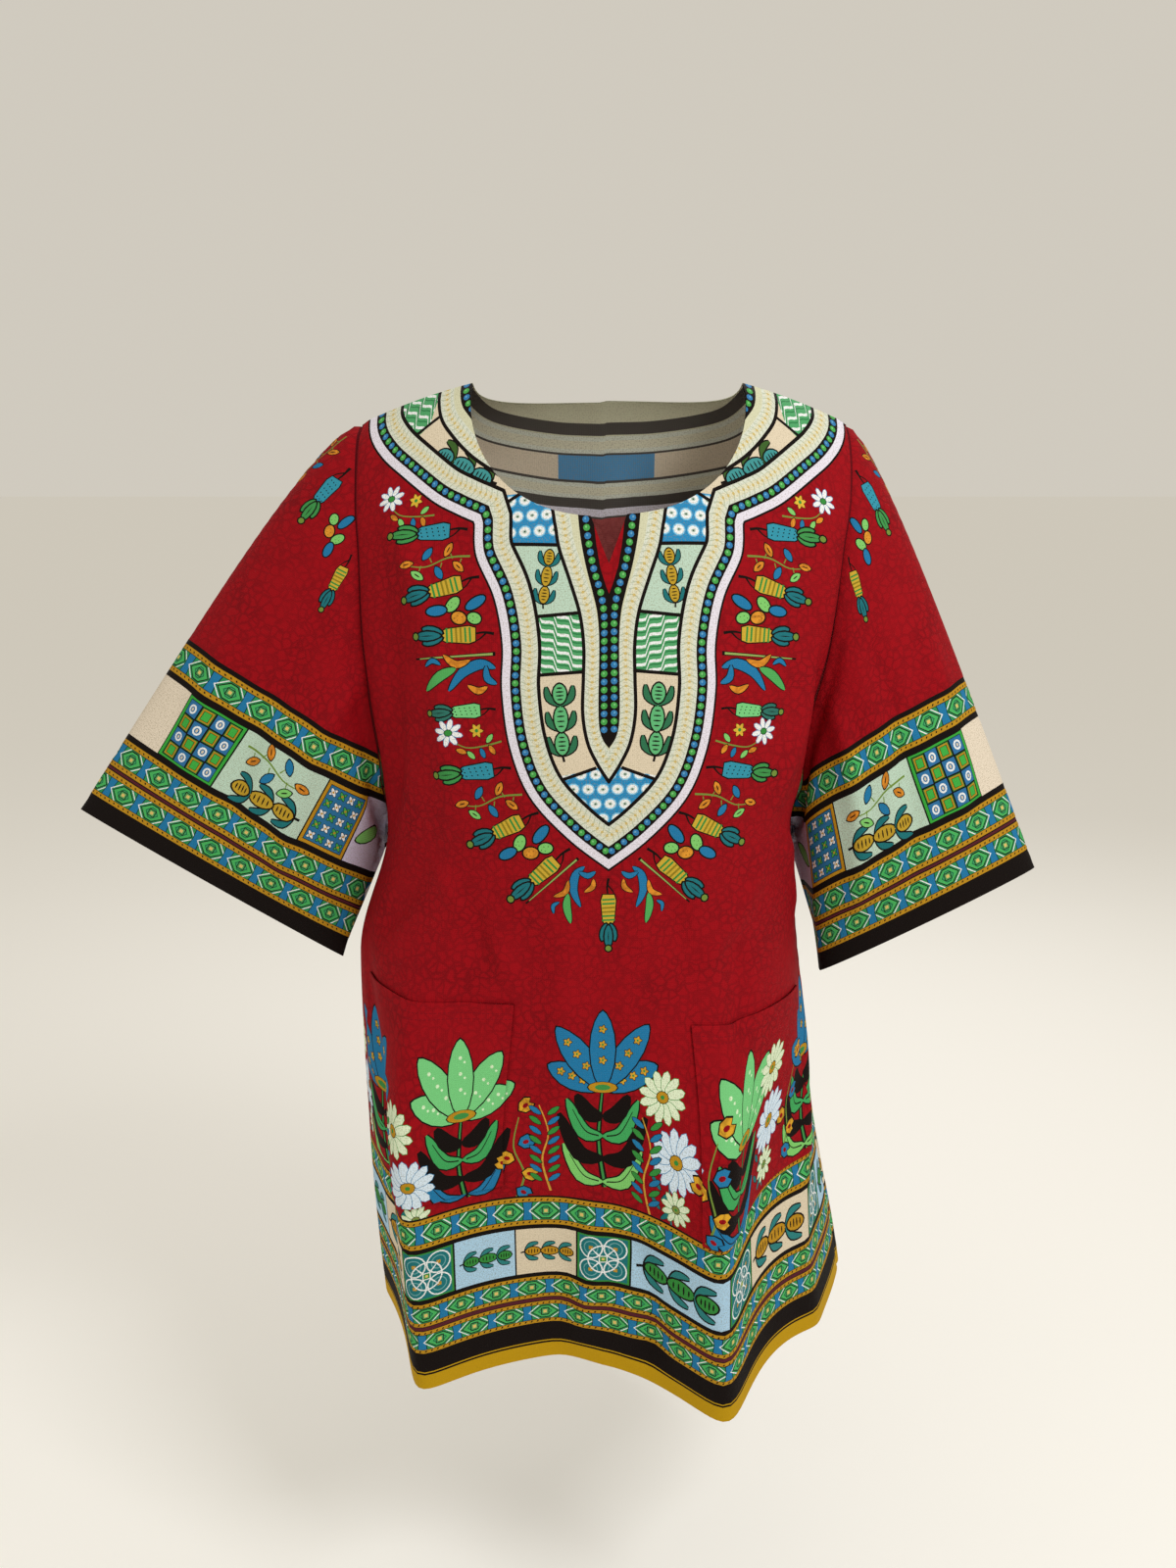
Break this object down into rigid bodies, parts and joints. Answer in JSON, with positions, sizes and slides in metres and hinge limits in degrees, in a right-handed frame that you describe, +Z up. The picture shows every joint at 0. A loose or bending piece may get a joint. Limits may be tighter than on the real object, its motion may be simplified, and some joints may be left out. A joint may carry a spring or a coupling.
{
  "type": "dashiki tunic",
  "caption": "Wide printed cotton tunic in worn form, with a round slit neck, elbow-length sleeves and low patch pockets.",
  "frame": {"origin": "midway between the two shoulder points beside the neck, where the wearer holds the garment up", "axes": "+Z up towards the wearer's head, -Y out of the front, +X towards the wearer's left sleeve"},
  "size_m": [0.778, 0.2949, 0.7686],
  "materials": {
    "printed_cotton": "matt plain-weave cotton with a printed design",
    "pocket_cotton": "matt plain-weave cotton with a printed design"
  },
  "bodies": {
    "root": {"front": "printed_cotton", "back": "printed_cotton", "sleeve_left": "printed_cotton", "sleeve_right": "printed_cotton", "pocket_left": "pocket_cotton", "pocket_right": "pocket_cotton"}
  },
  "joints": []
}
